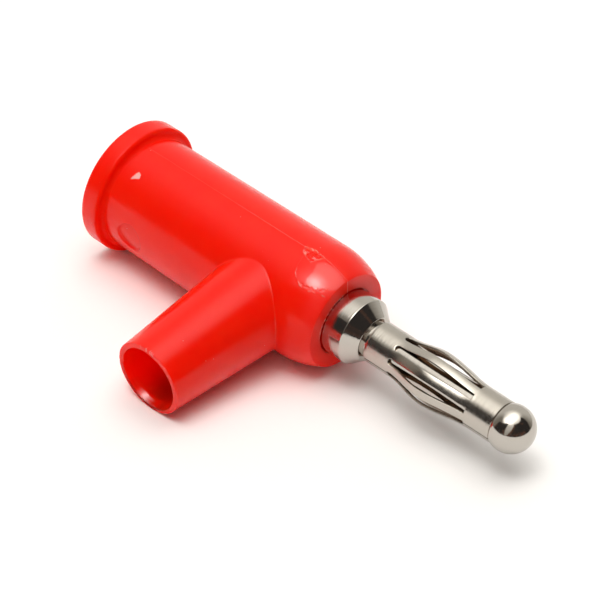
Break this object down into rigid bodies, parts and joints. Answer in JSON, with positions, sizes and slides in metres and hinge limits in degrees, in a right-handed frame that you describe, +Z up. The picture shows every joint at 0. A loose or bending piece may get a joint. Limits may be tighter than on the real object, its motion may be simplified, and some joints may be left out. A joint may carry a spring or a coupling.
{
  "type": "side-entry stackable banana plug",
  "caption": "T-shaped stackable banana plug: red moulding with a rear socket and a side cable sleeve, nickel-plated core with a ball tip and a slotted, bowed spring basket.",
  "frame": {"origin": "on the table below the middle of the plug's box, with the plug lying as it rests: on the flange's rim, the nose and the rim of the cable sleeve", "axes": "+X along the plug from its rear flange to its ball tip, as seen from above; -Y towards the cable sleeve; +Z up from the table"},
  "size_m": [0.0434, 0.021, 0.0113],
  "materials": {
    "red_moulding": "satin-gloss injection moulding in red",
    "nickel_plate": "turned brass, bright nickel plate with fine turning lines",
    "nickel_sheet": "rolled spring sheet, nickel plate with a fine brushed grain",
    "screw_steel": "zinc-plated steel"
  },
  "bodies": {
    "plug": {"housing": "red_moulding", "contact_core": "nickel_plate"},
    "basket": {"spring_basket": "nickel_sheet"},
    "screw": {"clamp_screw": "screw_steel"}
  },
  "joints": [
    {"name": "basket_spin", "type": "hinge", "parent": "plug", "child": "basket", "pos_m": [0.01261, 0.00484, 0.00455], "axis": [0.9994, 0, -0.0335], "continuous": true},
    {"name": "screw_travel", "type": "slide", "parent": "plug", "child": "screw", "axis": [0.9994, 0, -0.0335], "range_m": [0, 0.0021]}
  ]
}
